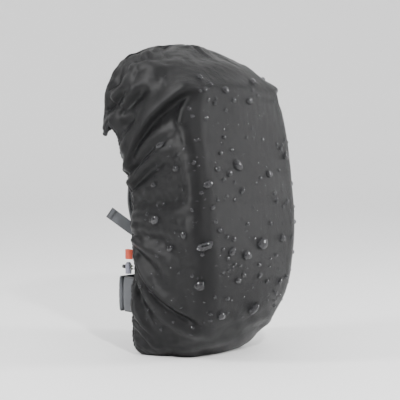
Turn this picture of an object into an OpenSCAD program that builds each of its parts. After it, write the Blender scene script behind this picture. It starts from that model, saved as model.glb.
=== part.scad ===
// Hiking pack inside its elasticated rain cover, standing on its base.
// +Z is up, -Y is the outer face of the pack and +Y the harness side that the
// wearer leans on. The origin is at the middle of the base.

/* [Cover] */
// Height of the covered pack
cover_h = 650; // [600:10:700]
// Half of the cover's greatest width
cover_half_w = 154; // [146:1:162]
// How far the outer face bulges in front of the origin
cover_front = 160; // [154:1:164]
// Thickness of the cover cloth with its seam tape
cloth_t = 2; // [1.5:0.5:3]
// Radius of the elastic hem casing
hem_r = 5; // [4.5:0.5:5.5]

/* [Pack] */
// Gap from the cover's outside to the pack's outside
pack_gap = 8; // [6:1:10]
// Thickness of a pack wall
wall_t = 4; // [3:0.5:5]
// Thickness of the foam in the back pads and shoulder straps
foam_t = 14; // [12:1:14]

/* [Webbing] */
// Width of the shoulder strap webbing
strap_webbing_w = 25; // [20:1:25]
// Width of the hip belt webbing
belt_webbing_w = 38; // [32:1:38]
// Thickness of all webbing
webbing_t = 1.6; // [1.2:0.2:1.6]

/* [Motion] */
// Free play between parts that turn or slide on each other
play = 0.4; // [0.35:0.05:0.5]

/* [Hidden] */
$fn = 48;

cover_grey = [0.17, 0.17, 0.18];
webbing_grey = [0.42, 0.43, 0.45];
foam_grey = [0.33, 0.34, 0.36];
lime = [0.62, 0.78, 0.12];
orange = [0.85, 0.33, 0.16];
buckle_grey = [0.25, 0.25, 0.28];

// Shape of the cover, as shares of its height, half width and front bulge:
// [height, half width at the back, half width at the front, front bulge, back]
profile = [
    [0.00, 0.84, 0.61, 0.34, 104], [0.02, 0.93, 0.66, 0.44, 104], [0.05, 0.96, 0.71, 0.57, 104],
    [0.09, 0.97, 0.76, 0.71, 104], [0.155, 0.97, 0.84, 0.87, 104], [0.23, 0.97, 0.90, 0.97, 104],
    [0.31, 0.98, 0.94, 1.00, 104], [0.41, 0.99, 0.97, 1.00, 104], [0.56, 1.00, 0.97, 0.95, 104],
    [0.70, 1.00, 0.96, 0.85, 140], [0.80, 1.00, 0.92, 0.78, 140], [0.86, 0.97, 0.87, 0.72, 138],
    [0.89, 0.93, 0.79, 0.58, 130], [0.93, 0.87, 0.68, 0.38, 116], [0.97, 0.69, 0.50, 0.07, 102],
    [1.00, 0.36, 0.24, -0.12, 66]
];
corner_steps = 6;     // segments round each corner of a section
front_r = 42;         // corner radius at the front of a section
back_r = 14;          // corner radius at the back of a section

hem_y = 50;           // plane where the cover's sides end
hood_z = 462;         // lower edge of the hood
hood_y = 58;          // plane where the turning part of the hood starts
hood_gap = 1;         // between the two sides of that plane
hood_axis_y = 10;     // hinge line of the hood
hood_axis_z = 640;
base_seam_z = 48;     // seam between the base panel and the panels above it
top_seam_z = 567;     // seam between the top panel and the panels below it

pack_back_y = 40;     // plane of the pack's back wall
skin_y = 45;          // inner plane of the padded back
rest_y = 48;          // plane that the pads and straps sit on
bag_top_z = 545;      // mouth of the main compartment
skin_top_z = 570;

hem_x = 142;          // middle of the hem casing on each side
hem_low_z = 10;
hem_bend_r = 26;

wing_x = 127;         // fold line of a hip wing
wing_y = 108;
wing_t = 14;
wing_low_z = 85;
wing_high_z = 160;

lock_x = -142;        // cord lock on the hem
lock_y = 70;
lock_z = 184;
cord_pitch = 3;       // each elastic end is this far above or below the lock's middle
cord_r = 1.2;

sternum_z = 370;
rail_y = 123;

function between(z, column) = lookup(z, [for (row = profile) [row[0], row[column]]]);

// Centre line of a smooth strap through a few points
function along(p, i, t) =
    let (a = p[max(i - 1, 0)], b = p[i], c = p[i + 1], d = p[min(i + 2, len(p) - 1)])
    0.5 * (2 * b + (c - a) * t + (2 * a - 5 * b + 4 * c - d) * t * t
        + (3 * b - a - 3 * c + d) * t * t * t);
function smooth(p, steps) = concat(
    [for (i = [0 : len(p) - 2], k = [0 : steps - 1]) along(p, i, k / steps)],
    [p[len(p) - 1]]);

function unit(v) = v / norm(v);
function side_of(p, i) =
    let (d = unit(p[min(i + 1, len(p) - 1)] - p[max(i - 1, 0)])) [-d[1], d[0]];
function band_outline(p, t) = concat(
    [for (i = [0 : len(p) - 1]) p[i] + side_of(p, i) * t / 2],
    [for (i = [len(p) - 1 : -1 : 0]) p[i] - side_of(p, i) * t / 2]);

// Quarter circle of points round a corner, turning through 90 degrees from angle a
function corner(x, y, r, a) =
    [for (k = [0 : corner_steps]) [x + r * cos(a + 90 * k / corner_steps),
        y + r * sin(a + 90 * k / corner_steps)]];

// Closed outline of the cover at a share s of its height, moved in by inset
function section(s, inset) =
    let (wb = cover_half_w * between(s, 1) - inset,
        wf = cover_half_w * between(s, 2) - inset,
        f = cover_front * between(s, 3) - inset,
        b = between(s, 4) - inset,
        rf = min(front_r, wf * 0.8, (b + f) * 0.6), rb = min(back_r, (b + f) * 0.3))
    concat(corner(wb - rb, b - rb, rb, 0), corner(-wb + rb, b - rb, rb, 90),
        corner(-wf + rf, -f + rf, rf, 180), corner(wf - rf, -f + rf, rf, 270));

// Solid of the cover's shape, moved in by inset on every side
module form(inset) {
    rows = len(profile);
    ring = 4 * (corner_steps + 1);
    points = [for (row = profile) let (z = inset + row[0] * (cover_h - 2 * inset))
        each [for (p = section(row[0], inset)) [p[0], p[1], z]]];
    sides = [for (i = [0 : rows - 2], j = [0 : ring - 1])
        let (a = i * ring + j, b = i * ring + (j + 1) % ring)
        each [[a, b + ring, b], [a, a + ring, b + ring]]];
    base = [for (j = [0 : ring - 1]) j];
    top = [for (j = [ring - 1 : -1 : 0]) (rows - 1) * ring + j];
    polyhedron(points, concat(sides, [base, top]), convexity = 6);
}

// Box between two opposite corners
module block(a, b) {
    translate(a) cube(b - a);
}

module left_and_right() {
    children();
    mirror([1, 0, 0]) children();
}

module on_side(side) {
    if (side < 0) children();
    else mirror([1, 0, 0]) children();
}

// Strip bent in the Y-Z plane, w wide along X about x
module strip_yz(path, x, w, t) {
    translate([x - w / 2, 0, 0]) rotate([90, 0, 90])
        linear_extrude(w) polygon(band_outline(path, t));
}

// Straight webbing from a to b, turned about its own length by roll
module webbing(a, b, w, roll = 0, t = webbing_t) {
    v = b - a;
    translate(a) rotate([roll, -atan2(v[2], norm([v[0], v[1]])), atan2(v[1], v[0])])
        translate([0, -w / 2, -t / 2]) cube([norm(v), w, t]);
}

// Plate in the X-Z plane from y, t thick, over a 2-D outline
module plate(y, t) {
    translate([0, y + t, 0]) rotate([90, 0, 0]) linear_extrude(t) children();
}

module rounded_square(a, b, r) {
    translate(a + [r, r]) hull() for (x = [0, b[0] - a[0] - 2 * r], z = [0, b[1] - a[1] - 2 * r])
        translate([x, z]) circle(r, $fn = 32);
}

// ---- rain cover ----

big = 400;            // larger than any half dimension

module cover_cloth() {
    difference() {
        form(0);
        form(cloth_t);
        block([-big, hem_y, -1], [big, big, hood_z]);
    }
}

// Vertical wedge behind the front panel's two seams
module front_wedge() {
    translate([0, 0, -1]) linear_extrude(2 * big)
        polygon([[0, 20], [-big, -460], [big, -460]]);
}

module panel_height(low, high) {
    block([-big, -big, low], [big, hood_y, high]);
}

module front_panel(low, high) {
    intersection() {
        children();
        front_wedge();
        panel_height(low, high);
    }
}

module gusset(side, low, high) {
    intersection() {
        difference() {
            children();
            front_wedge();
        }
        panel_height(low, high);
        block([side < 0 ? -big : 0, -big, -1], [side < 0 ? 0 : big, big, 2 * big]);
    }
}

module cover_front_panel() {
    color(cover_grey) front_panel(base_seam_z, top_seam_z) cover_cloth();
}

module cover_gusset(side) {
    color(cover_grey) gusset(side, base_seam_z, top_seam_z) cover_cloth();
}

module cover_base_panel() {
    color(cover_grey) intersection() {
        cover_cloth();
        panel_height(-1, base_seam_z);
    }
}

module cover_top_panel() {
    color(cover_grey) intersection() {
        cover_cloth();
        panel_height(top_seam_z, 2 * big);
    }
}

module cover_hood() {
    color(cover_grey) intersection() {
        cover_cloth();
        block([-big, hood_y + hood_gap, hood_z], [big, big, 2 * big]);
    }
}

// Rod of radius r along the hem: up both sides and across the base
module hem_run(r) {
    straight_x = hem_x - hem_bend_r;
    left_and_right() {
        translate([-hem_x, hem_y + hem_r, hem_low_z + hem_bend_r])
            cylinder(h = hood_z - 4 - hem_low_z - hem_bend_r, r = r);
        translate([-straight_x, hem_y + hem_r, hem_low_z + hem_bend_r]) rotate([90, 0, 0])
            rotate([0, 0, 180]) rotate_extrude(angle = 90) translate([hem_bend_r, 0]) circle(r);
        translate([-straight_x, hem_y + hem_r, hem_low_z]) rotate([0, 90, 0])
            cylinder(h = straight_x, r = r);
    }
}

// Two short rods of radius r that run back from the middle of the hem to the cord lock
module cord_runs(r, length) {
    for (z = [-cord_pitch, cord_pitch])
        translate([lock_x, hem_y + hem_r, lock_z + z]) rotate([-90, 0, 0])
            cylinder(h = length, r = r);
}

module cover_hem() {
    color(cover_grey) difference() {
        hem_run(hem_r);
        hem_run(hem_r / 2);
        cord_runs(cord_r + 0.2, hem_r + 1);
    }
}

module hem_elastic() {
    color("black") difference() {
        hem_run(hem_r / 2 - 0.3);
        cord_runs(cord_r + 0.2, hem_r + 1);
    }
}

// Straight hem along the hood's lower rear edge
module hood_hem() {
    color(cover_grey) translate([-128, 136, hood_z - 3.5]) rotate([0, 90, 0]) difference() {
        cylinder(h = 256, r = 3.5);
        translate([0, 0, -1]) cylinder(h = 258, r = 1.5);
    }
}

module hem_grommets() {
    color("silver") for (z = [-cord_pitch, cord_pitch])
        translate([lock_x, hem_y + 2 * hem_r, lock_z + z]) rotate([-90, 0, 0]) difference() {
            cylinder(h = 1, r = 2.6);
            translate([0, 0, -1]) cylinder(h = 3, r = cord_r + 0.2);
        }
}

module hem_pull_tab() {
    color(orange) difference() {
        block([lock_x - 5, hem_y + 2 * hem_r, lock_z + 16], [lock_x + 5, hem_y + 26, lock_z + 38]);
        block([lock_x - 6, hem_y + 2 * hem_r + 2, lock_z + 19],
            [lock_x + 6, hem_y + 23, lock_z + 35]);
    }
}

// Barrel with a blind bore from the top and a cross slot for the two cord ends
module cord_lock_body() {
    color(webbing_grey) translate([lock_x, lock_y, lock_z]) difference() {
        translate([0, 0, -14]) cylinder(h = 21, r = 6.5);
        translate([0, 0, -12.5]) cylinder(h = 20, r = 5);
        translate([-2.2, -8, -5]) cube([4.4, 16, 10]);
    }
}

module cord_lock_button() {
    color(webbing_grey) translate([lock_x, lock_y, lock_z]) difference() {
        translate([0, 0, -6]) cylinder(h = 16, r = 5 - play);
        translate([-2.2, -8, -4.6]) cube([4.4, 16, 12.2]);
    }
}

module cord_lock_spring() {
    turns = 3;
    steps = 16;
    r = 3;
    wire = 0.35;
    low = -12;
    rise = 5.3;
    rings = turns * steps;
    color("silver") translate([lock_x, lock_y, lock_z]) polyhedron(
        [for (i = [0 : rings], k = [0 : 5]) let (a = 360 * i / steps, q = r + wire * cos(60 * k))
            [q * cos(a), q * sin(a), low + rise * i / rings + wire * sin(60 * k)]],
        concat([[for (k = [0 : 5]) k]], [[for (k = [5 : -1 : 0]) rings * 6 + k]],
            [for (i = [0 : rings - 1], k = [0 : 5]) let (a = i * 6 + k, b = i * 6 + (k + 1) % 6)
                each [[a, b + 6, b], [a, a + 6, b + 6]]]));
}

// Two elastic ends that leave the hem, cross the cord lock and end in a bead
module elastic_ends() {
    color("black") {
        cord_runs(cord_r, 26);
        translate([lock_x, hem_y + hem_r + 25, lock_z]) rotate([-90, 0, 0])
            cylinder(h = 6, r = 4);
    }
}

// ---- pack ----

module pack_cloth() {
    intersection() {
        difference() {
            form(pack_gap);
            form(pack_gap + wall_t);
        }
        block([-big, -big, 0], [big, pack_back_y - wall_t, bag_top_z]);
    }
}

module pack_front_panel() {
    color(lime) front_panel(base_seam_z, bag_top_z) pack_cloth();
}

module pack_gusset(side) {
    color(webbing_grey) gusset(side, base_seam_z, bag_top_z) pack_cloth();
}

module pack_base_panel() {
    color(foam_grey) intersection() {
        pack_cloth();
        panel_height(-1, base_seam_z);
    }
}

// Half width of the pack's outside, at a share s of the height and a depth y
function pack_half_w(s, y) =
    let (wb = cover_half_w * between(s, 1), wf = cover_half_w * between(s, 2),
        f = cover_front * between(s, 3), b = between(s, 4))
    wf + (wb - wf) * (y + f - front_r) / (b - back_r + f - front_r) - pack_gap;

module pack_back_panel() {
    levels = [30, 60, 110, 200, 300, 400, 480, 530, bag_top_z];
    edge = [for (z = levels) [pack_half_w(z / cover_h, pack_back_y) - 1, z]];
    mirrored_edge = [for (i = [len(edge) - 1 : -1 : 0]) [-edge[i][0], edge[i][1]]];
    color(lime) plate(pack_back_y - wall_t, wall_t)
        polygon(concat([[-110, 12], [110, 12]], edge, mirrored_edge));
}

module pack_lid() {
    color(lime) intersection() {
        form(pack_gap + 2);
        block([-big, -big, skin_top_z + 6], [big, 90, 2 * big]);
    }
}

module frame_sheet() {
    color("white") plate(pack_back_y, 2) rounded_square([-110, 30], [110, 530], 24);
}

module frame_stay(side) {
    color("silver") on_side(side)
        block([-66, pack_back_y + 2, 40], [-54, skin_y, 525]);
}

module back_skin() {
    color(foam_grey) plate(skin_y, rest_y - skin_y)
        rounded_square([-131, 17], [131, skin_top_z], 20);
}

// Padded lime edge up both sides of the back
module edge_rim() {
    color(lime) left_and_right() plate(rest_y, foam_t)
        rounded_square([-135, 166], [-125, 490], 4);
}

module back_pad(side) {
    color(foam_grey) on_side(side)
        plate(rest_y, foam_t) rounded_square([-84, 182], [-10, 448], 16);
}

module lumbar_pad() {
    color(foam_grey) plate(rest_y, 20) rounded_square([-69.5, 70], [69.5, 176], 24);
}

// ---- shoulder harness ----

shoulder_path = [
    [rest_y + foam_t / 2 + 1, 515], [rest_y + foam_t / 2 + 2, 495], [68, 466], [93, 438],
    [109, 412], [110, 370], [110, 320], [100, 286], [86, 258]
];
shoulder_x = -58;
shoulder_splay = 5;

module shoulder_strap(side) {
    color(foam_grey) on_side(side) translate([shoulder_x, 0, 528]) rotate([0, shoulder_splay, 0])
        translate([0, 0, -528])
            strip_yz(smooth(shoulder_path, 4), 0, 62, foam_t);
}

module load_lifter(side) {
    color(webbing_grey) on_side(side)
        webbing([-62, rest_y + 2, skin_top_z - 2], [-62, 78, 471], 20);
}

module lifter_buckle(side) {
    color(buckle_grey) on_side(side) translate([-62, 89, 460]) rotate([45, 0, 0]) difference() {
        block([-13, -2.5, -12], [13, 2.5, 12]);
        for (z = [-4.5, 4.5]) block([-10.5, -3, z - 1.6], [10.5, 3, z + 1.6]);
    }
}

module ladder_lock(side) {
    color(buckle_grey) on_side(side) translate([-81, 84, 238]) difference() {
        block([-16, -2.5, -13], [16, 2.5, 13]);
        for (z = [-5, 5]) block([-13, -3, z - 1.8], [13, 3, z + 1.8]);
    }
}

// Webbing from the foot of the back panel up to the ladder lock
module adjuster_webbing(side) {
    splay = 20;
    color(webbing_grey) on_side(side) translate([-84, 0, 243]) rotate([0, splay, 0])
        strip_yz([[rest_y + 3, -60], [79, 0]], 0, strap_webbing_w, webbing_t);
}

// Free end of the webbing, sewn over at its tip, standing out from the pack
module strap_tail(side) {
    root = [-90, 103.4, 252];
    lean = [-0.466, 0.673, 0.575];
    tip = root + lean * 74;
    color(webbing_grey) on_side(side) {
        webbing(root, tip, strap_webbing_w, 90);
        webbing(tip - lean * 10, tip, strap_webbing_w, 90, 2 * webbing_t);
    }
}

module sternum_rails() {
    color(buckle_grey) left_and_right() {
        translate([-66, rail_y, sternum_z - 44]) cylinder(h = 88, r = 1.5);
        for (z = [sternum_z - 50, sternum_z + 44])
            block([-69, rail_y - 5, z], [-63, rail_y + 3, z + 6]);
    }
}

module sternum_clips() {
    color(buckle_grey) left_and_right() translate([-66, rail_y, sternum_z]) difference() {
        block([-5, -4, -9], [8, 4, 9]);
        translate([0, 0, -10]) cylinder(h = 20, r = 1.58);
        block([5, -webbing_t / 2, -7.5], [9, webbing_t / 2, 7.5]);
    }
}

module sternum_webbing() {
    color(webbing_grey) {
        block([-61, rail_y - webbing_t / 2, sternum_z - 7.5],
            [-17, rail_y + webbing_t / 2, sternum_z + 7.5]);
        block([12, rail_y - webbing_t / 2, sternum_z - 7.5],
            [61, rail_y + webbing_t / 2, sternum_z + 7.5]);
    }
}

module sternum_buckle_female() {
    color(buckle_grey) translate([0, rail_y, sternum_z]) difference() {
        block([-24, -4.5, -14], [6, 4.5, 14]);
        block([-14, -2.9, -11.9], [7, 2.9, 11.9]);
        block([-25, -webbing_t / 2, -7.5], [-17, webbing_t / 2, 7.5]);
        block([-12, -5, -5], [-2, 5, 5]);
    }
}

module sternum_buckle_male() {
    color(buckle_grey) translate([0, rail_y, sternum_z]) difference() {
        union() {
            block([6 + play, -4, -14], [24, 4, 14]);
            for (z = [-11.2, 8.8]) block([-12, -2, z], [7, 2, z + 2.4]);
        }
        block([5, -webbing_t / 2 - play, -8], [25, webbing_t / 2 + play, 8]);
    }
}

// ---- hip belt ----

module hip_root(side) {
    color(foam_grey) on_side(side) {
        block([-120, rest_y, wing_low_z], [-70, rest_y + wing_t, wing_high_z]);
        block([-wing_x - wing_t / 2, rest_y, wing_low_z],
            [-120, wing_y - wing_t / 2 - play, wing_high_z]);
    }
}

module hip_wing(side) {
    color(foam_grey) on_side(side) {
        translate([-wing_x, wing_y, wing_low_z])
            cylinder(h = wing_high_z - wing_low_z, r = wing_t / 2);
        plate(wing_y - wing_t / 2, wing_t)
            polygon([[-wing_x, wing_low_z], [-wing_x, wing_high_z], [-80, wing_high_z - 6],
                [-64, wing_high_z - 14], [-64, wing_low_z + 14], [-80, wing_low_z + 6]]);
    }
}

belt_z = (wing_low_z + wing_high_z) / 2;

module hip_webbing(side) {
    reach = side < 0 ? -30 : -28;
    color(webbing_grey) on_side(side)
        block([-100, wing_y + wing_t / 2, belt_z - belt_webbing_w / 2],
            [reach, wing_y + wing_t / 2 + webbing_t, belt_z + belt_webbing_w / 2]);
}

belt_y = wing_y + wing_t / 2 + webbing_t / 2;

module hip_buckle_female() {
    color(buckle_grey) translate([0, belt_y, belt_z]) difference() {
        block([-46, -6, -24], [-6, 6, 24]);
        block([-36, -4, -21], [-5, 4, 21]);
        block([-55, -webbing_t / 2, -belt_webbing_w / 2], [-30, webbing_t / 2, belt_webbing_w / 2]);
        block([-30, -7, -10], [-16, 7, 10]);
    }
}

module hip_buckle_male() {
    color(buckle_grey) translate([0, belt_y, belt_z]) difference() {
        union() {
            block([24, -5, -24], [44, 5, 24]);
            block([2, -2.5, -3], [25, 2.5, 3]);
        }
        block([28, -webbing_t / 2, -belt_webbing_w / 2], [45, webbing_t / 2, belt_webbing_w / 2]);
    }
}

module hip_prong(side) {
    color(buckle_grey) translate([0, belt_y, belt_z]) mirror([0, 0, side < 0 ? 1 : 0])
        union() {
            block([0, -3, 14], [20, 3, 19]);
            translate([20, 3, 16.5]) rotate([90, 0, 0]) cylinder(h = 6, r = 2.5);
            block([2, -3, 18], [8, 3, 21]);
        }
}

// ---- haul loop ----

haul_z = 508;
haul_y = 58;

module haul_anchor() {
    color(webbing_grey) block([-26, rest_y, haul_z + 4], [26, haul_y + 3, haul_z + 14]);
}

module haul_loop() {
    color(webbing_grey) {
        plate(haul_y - 1.5, 3) difference() {
            rounded_square([-22, haul_z - 42], [22, haul_z + 1], 8);
            rounded_square([-15, haul_z - 35], [15, haul_z - 6], 6);
        }
        translate([-22, haul_y, haul_z]) rotate([0, 90, 0]) cylinder(h = 44, r = 2.6);
    }
}

cover_front_panel();
cover_gusset(-1);  // cover_gusset_left
cover_gusset(1);  // cover_gusset_right
cover_base_panel();
cover_top_panel();
cover_hood();
cover_hem();
hood_hem();
hem_elastic();
hem_grommets();
hem_pull_tab();
cord_lock_body();
cord_lock_button();
cord_lock_spring();
elastic_ends();
pack_front_panel();
pack_gusset(-1);  // pack_gusset_left
pack_gusset(1);  // pack_gusset_right
pack_base_panel();
pack_back_panel();
pack_lid();
frame_sheet();
frame_stay(-1);  // frame_stay_left
frame_stay(1);  // frame_stay_right
back_skin();
edge_rim();
back_pad(-1);  // back_pad_left
back_pad(1);  // back_pad_right
lumbar_pad();
shoulder_strap(-1);  // shoulder_strap_left
shoulder_strap(1);  // shoulder_strap_right
load_lifter(-1);  // load_lifter_left
load_lifter(1);  // load_lifter_right
lifter_buckle(-1);  // lifter_buckle_left
lifter_buckle(1);  // lifter_buckle_right
ladder_lock(-1);  // ladder_lock_left
ladder_lock(1);  // ladder_lock_right
adjuster_webbing(-1);  // adjuster_webbing_left
adjuster_webbing(1);  // adjuster_webbing_right
strap_tail(-1);  // strap_tail_left
strap_tail(1);  // strap_tail_right
sternum_rails();
sternum_clips();
sternum_webbing();
sternum_buckle_female();
sternum_buckle_male();
hip_root(-1);  // hip_root_left
hip_root(1);  // hip_root_right
hip_wing(-1);  // hip_wing_left
hip_wing(1);  // hip_wing_right
hip_webbing(-1);  // hip_webbing_left
hip_webbing(1);  // hip_webbing_right
hip_buckle_female();
hip_buckle_male();
hip_prong(1);  // hip_prong_upper
hip_prong(-1);  // hip_prong_lower
haul_anchor();
haul_loop();
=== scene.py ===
import math
import random

import bpy
import numpy as np
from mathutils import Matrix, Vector
from mathutils.bvhtree import BVHTree


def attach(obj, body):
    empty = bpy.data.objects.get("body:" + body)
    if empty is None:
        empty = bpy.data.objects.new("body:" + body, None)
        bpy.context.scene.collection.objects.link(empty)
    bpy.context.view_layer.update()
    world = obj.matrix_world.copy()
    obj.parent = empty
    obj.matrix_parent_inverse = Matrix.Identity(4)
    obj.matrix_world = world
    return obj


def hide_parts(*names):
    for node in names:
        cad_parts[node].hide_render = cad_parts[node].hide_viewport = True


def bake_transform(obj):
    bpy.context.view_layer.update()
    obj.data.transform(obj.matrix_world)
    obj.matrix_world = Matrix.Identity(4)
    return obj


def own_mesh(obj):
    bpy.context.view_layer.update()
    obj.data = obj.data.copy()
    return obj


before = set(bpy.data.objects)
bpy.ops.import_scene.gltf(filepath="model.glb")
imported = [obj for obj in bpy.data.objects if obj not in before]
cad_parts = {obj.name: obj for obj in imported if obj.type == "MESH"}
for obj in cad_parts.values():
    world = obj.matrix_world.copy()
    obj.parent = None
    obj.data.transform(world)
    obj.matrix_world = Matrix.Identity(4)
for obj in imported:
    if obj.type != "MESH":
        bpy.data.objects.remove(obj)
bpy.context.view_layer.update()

# Metres. +Z is up, -Y is the outer face of the pack, +Y the harness side and -X the wearer's left.

COVER_H = 0.650
COVER_HALF_W = 0.154
COVER_FRONT = 0.160
FRONT_R = 0.042
BACK_R = 0.014
SIDE_Y = 0.045          # where the sides bulge most
PACK_INSET = 0.0125     # from the cover's outside to the pack's cloth
HOOD_Z = 0.462          # lower edge of the hood
HOOD_WAY = np.array([0, 0.969, 0.248])     # from the still cloth towards the cloth that turns
HOOD_START = 0.150      # along that way, where the cloth begins to turn with the hood
SIDES = ((-1, "left"), (1, "right"))

# Shares of the cover's height, half width and front bulge, and its back in metres:
# height, half width at the back, half width at the front, front bulge, back
PROFILE = np.array([
    [0.00, 0.84, 0.61, 0.34, 0.104], [0.02, 0.93, 0.66, 0.44, 0.104], [0.05, 0.96, 0.71, 0.57, 0.104],
    [0.09, 0.97, 0.76, 0.71, 0.104], [0.155, 0.97, 0.84, 0.87, 0.104], [0.23, 0.97, 0.90, 0.97, 0.104],
    [0.31, 0.98, 0.94, 1.00, 0.104], [0.41, 0.99, 0.97, 1.00, 0.104], [0.56, 1.00, 0.97, 0.95, 0.104],
    [0.70, 1.00, 0.96, 0.85, 0.140], [0.80, 1.00, 0.92, 0.78, 0.140], [0.86, 0.97, 0.87, 0.72, 0.138],
    [0.89, 0.93, 0.79, 0.58, 0.130], [0.93, 0.87, 0.68, 0.38, 0.116], [0.97, 0.69, 0.50, 0.07, 0.102],
    [1.00, 0.36, 0.24, -0.12, 0.066]])

# How far back the elastic hem lies at each height
HEM_LINE = np.array([[0, 0.055], [0.10, 0.055], [0.20, 0.050], [0.30, 0.055], [0.35, 0.060],
                     [0.43, 0.080], [0.462, 0.090], [0.65, 0.090]])
# Lift of the hood's lower edge at each distance behind the hem
HOOD_EDGE = np.array([[0, -0.005], [0.010, 0.015], [0.020, 0.025], [0.030, 0.010], [0.040, 0.000],
                      [0.050, 0.005], [0.075, 0.015], [0.12, 0.010], [0.25, 0.015]])

# Folds on the wearer's left side: kind, height and width in mm, then (y, z) points in mm
SIDE_FOLDS = [
    ("ridge", 5, 10, [(60, 630), (0, 635), (-60, 610)]),
    ("crease", 4, 9, [(65, 610), (0, 620), (-60, 600)]),
    ("ridge", 4, 9, [(70, 600), (10, 605), (-50, 590)]),
    ("crease", 4, 7, [(20, 645), (-40, 630)]),
    ("crease", 5, 7, [(130, 555), (65, 575)]),
    ("ridge", 8, 11, [(105, 530), (60, 570), (35, 580)]),
    ("crease", 8, 9, [(125, 510), (85, 535), (45, 565)]),
    ("ridge", 8, 12, [(75, 515), (25, 565), (-35, 585)]),
    ("crease", 8, 10, [(80, 500), (30, 540), (-10, 565)]),
    ("ridge", 8, 11, [(125, 465), (100, 490), (30, 515)]),
    ("crease", 6, 9, [(70, 480), (20, 500)]),
    ("ridge", 6, 14, [(75, 425), (10, 490), (-25, 535)]),
    ("step", 8, 7, [(60, 395), (15, 465), (-50, 520), (-105, 550), (-160, 565)]),
    ("ridge", 6, 10, [(60, 380), (35, 420), (-35, 465), (-95, 490)]),
    ("ridge", 5, 9, [(-90, 480), (-100, 540)]),
    ("crease", 7, 8, [(60, 370), (15, 410), (-85, 475)]),
    ("ridge", 7, 10, [(65, 350), (-25, 420), (-100, 450)]),
    ("crease", 6, 9, [(60, 340), (-10, 390), (-85, 425)]),
    ("crease", 6, 12, [(55, 320), (-45, 325), (-135, 340)]),
    ("ridge", 5, 10, [(50, 290), (-10, 300), (-85, 310), (-140, 330)]),
    ("ridge", 4, 14, [(50, 270), (-90, 270), (-150, 280)]),
    ("crease", 5, 10, [(50, 255), (-20, 250), (-110, 255)]),
    ("ridge", 5, 13, [(50, 245), (-10, 225), (-110, 175)]),
    ("crease", 5, 9, [(50, 230), (0, 200), (-60, 160)]),
    ("ridge", 5, 9, [(50, 220), (5, 160), (-70, 110), (-130, 85)]),
    ("crease", 8, 7, [(50, 205), (0, 140), (-85, 90), (-140, 65)]),
    ("ridge", 6, 9, [(50, 195), (-20, 105), (-95, 65), (-150, 50)]),
    ("crease", 6, 7, [(50, 180), (25, 115), (-25, 55)]),
    ("ridge", 4, 8, [(55, 165), (40, 100), (0, 40)]),
]

# Water beads: (place across, height, width in mm, stretch, tilt in degrees)
FRONT_BEADS = [
    (10, 240, 22, 1.2, 10), (-35, 220, 17, 1.1, 0), (-45, 400, 18, 1.5, -45), (45, 380, 14, 1.1, -20),
    (-55, 550, 13, 1.1, 0), (10, 530, 13, 1.1, 0), (-35, 530, 9, 1, 0), (45, 570, 14, 1.4, 30),
    (-60, 510, 8, 1.2, 0), (-70, 385, 12, 1.1, 0), (-100, 395, 11, 1, 0), (-40, 350, 11, 1.2, 60),
    (60, 325, 9, 1.8, 80), (80, 245, 13, 1, 0), (115, 245, 8, 1, 0), (-75, 230, 14, 1.5, 40),
    (-55, 170, 11, 1.2, 60), (5, 175, 10, 1.1, 60), (30, 160, 8, 1, 0), (-80, 100, 15, 1.1, 0),
    (5, 105, 18, 1.7, 45), (75, 155, 10, 1.5, 70), (110, 415, 14, 1, 0), (95, 430, 9, 1, 0),
    (-105, 275, 10, 1, 0), (-70, 255, 9, 1, 0)]
SIDE_BEADS = [
    (-30, 290, 17, 1.5, 35), (-20, 360, 10, 1.1, 0), (-65, 235, 13, 1.3, 40), (0, 140, 10, 1.2, 0),
    (-85, 395, 12, 1.2, 45), (-110, 265, 12, 1.2, 70), (-45, 440, 15, 1.6, 20)]
CORNER_BEADS = [(0, 165, 17, 1.2, 20), (10, 245, 20, 1.9, 25), (15, 365, 15, 1.3, 20),
                (0, 575, 11, 1, 0), (10, 550, 9, 1, 0)]

rng = random.Random(7)


# ---- small tools ----

def spline(x, xs, ys):
    """Smooth curve through the points (xs, ys)."""
    slopes = np.gradient(ys, xs)
    i = np.clip(np.searchsorted(xs, x) - 1, 0, len(xs) - 2)
    h = xs[i + 1] - xs[i]
    t = np.clip((x - xs[i]) / h, 0, 1)
    return (ys[i] * (1 + 2 * t) * (1 - t) ** 2 + slopes[i] * h * t * (1 - t) ** 2
            + ys[i + 1] * t * t * (3 - 2 * t) + slopes[i + 1] * h * t * t * (t - 1))


def smoothstep(x, low, high):
    t = np.clip((x - low) / (high - low), 0, 1)
    return t * t * (3 - 2 * t)


def waves(points, size, seed, count=12):
    """Smooth noise, mostly from -1 to 1, with features about size metres across."""
    random_state = np.random.default_rng(seed)
    k = random_state.normal(size=(count, 3))
    k *= (2 * np.pi / size * random_state.uniform(0.6, 1.4, (count, 1))
          / np.linalg.norm(k, axis=1, keepdims=True))
    return np.sin(points @ k.T + random_state.uniform(0, 2 * np.pi, count)).sum(1) * 1.2 / math.sqrt(count)


def smooth_path(points, steps):
    """A smooth line through a few points, as an array."""
    p = np.array(points, float)
    x = np.arange(len(p))
    fine = np.linspace(0, len(p) - 1, (len(p) - 1) * steps + 1)
    return np.stack([spline(fine, x, p[:, k]) for k in range(p.shape[1])], 1)


def resample(path, count, closed=False):
    """The same line with its points evenly spaced."""
    p = np.vstack([path, path[:1]]) if closed else np.array(path, float)
    s = np.concatenate([[0], np.cumsum(np.linalg.norm(np.diff(p, axis=0), axis=1))])
    at = np.linspace(0, s[-1], count + 1)[:-1] if closed else np.linspace(0, s[-1], count)
    return np.stack([np.interp(at, s, p[:, k]) for k in range(3)], 1)


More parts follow.
